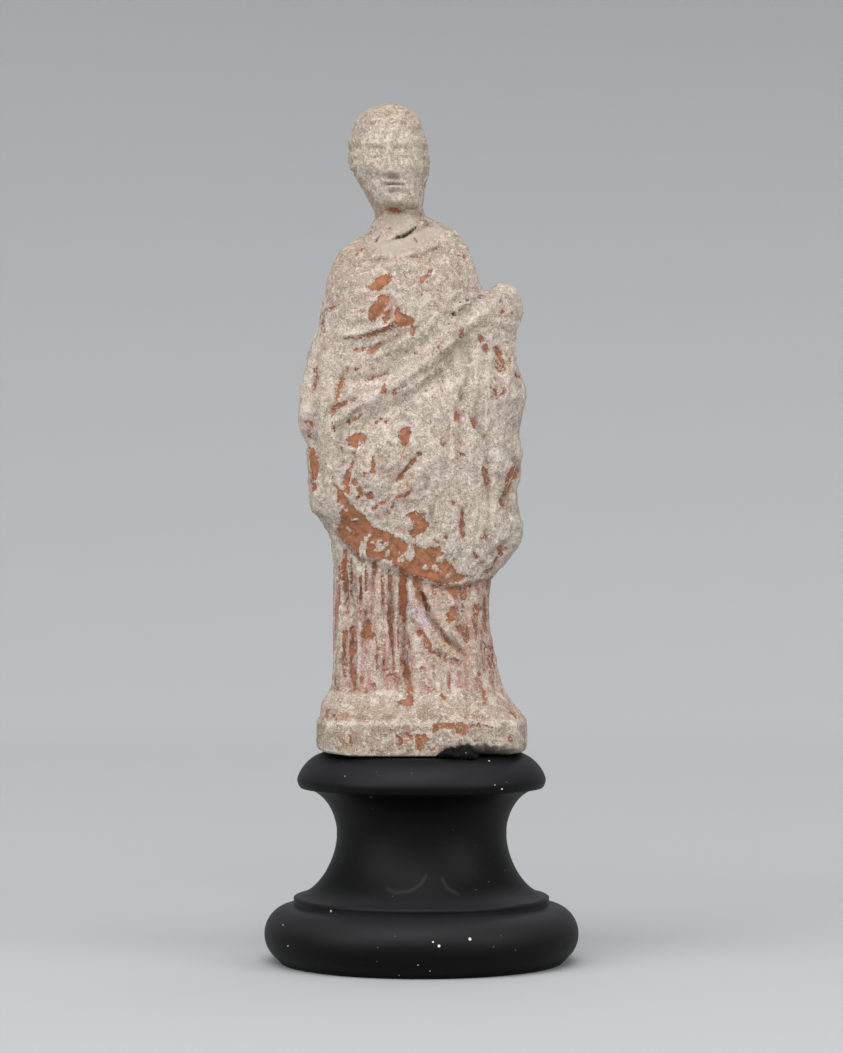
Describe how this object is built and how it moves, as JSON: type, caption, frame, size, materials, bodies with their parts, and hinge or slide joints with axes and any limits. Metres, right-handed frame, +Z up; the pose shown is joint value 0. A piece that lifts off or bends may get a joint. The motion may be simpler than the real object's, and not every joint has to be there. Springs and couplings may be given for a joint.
{
  "type": "standing female figurine",
  "caption": "Moulded terracotta figurine of a draped standing woman on her own thin plinth, set on a turned black display socle.",
  "frame": {"origin": "centre of the socle's foot, on the surface that it stands on", "axes": "+Z up; the woman faces -Y; +X is to the right of someone facing her"},
  "size_m": [0.0724, 0.0724, 0.1975],
  "materials": {
    "slip_coated_terracotta": "matt, rough, pale slip flaked from orange clay",
    "black_putty": "dull, lumpy",
    "matt_black_paint": "matt black paint on a turned socle"
  },
  "bodies": {
    "root": {"figurine": "slip_coated_terracotta", "mounting_putty": "black_putty", "socle": "matt_black_paint"}
  },
  "joints": []
}
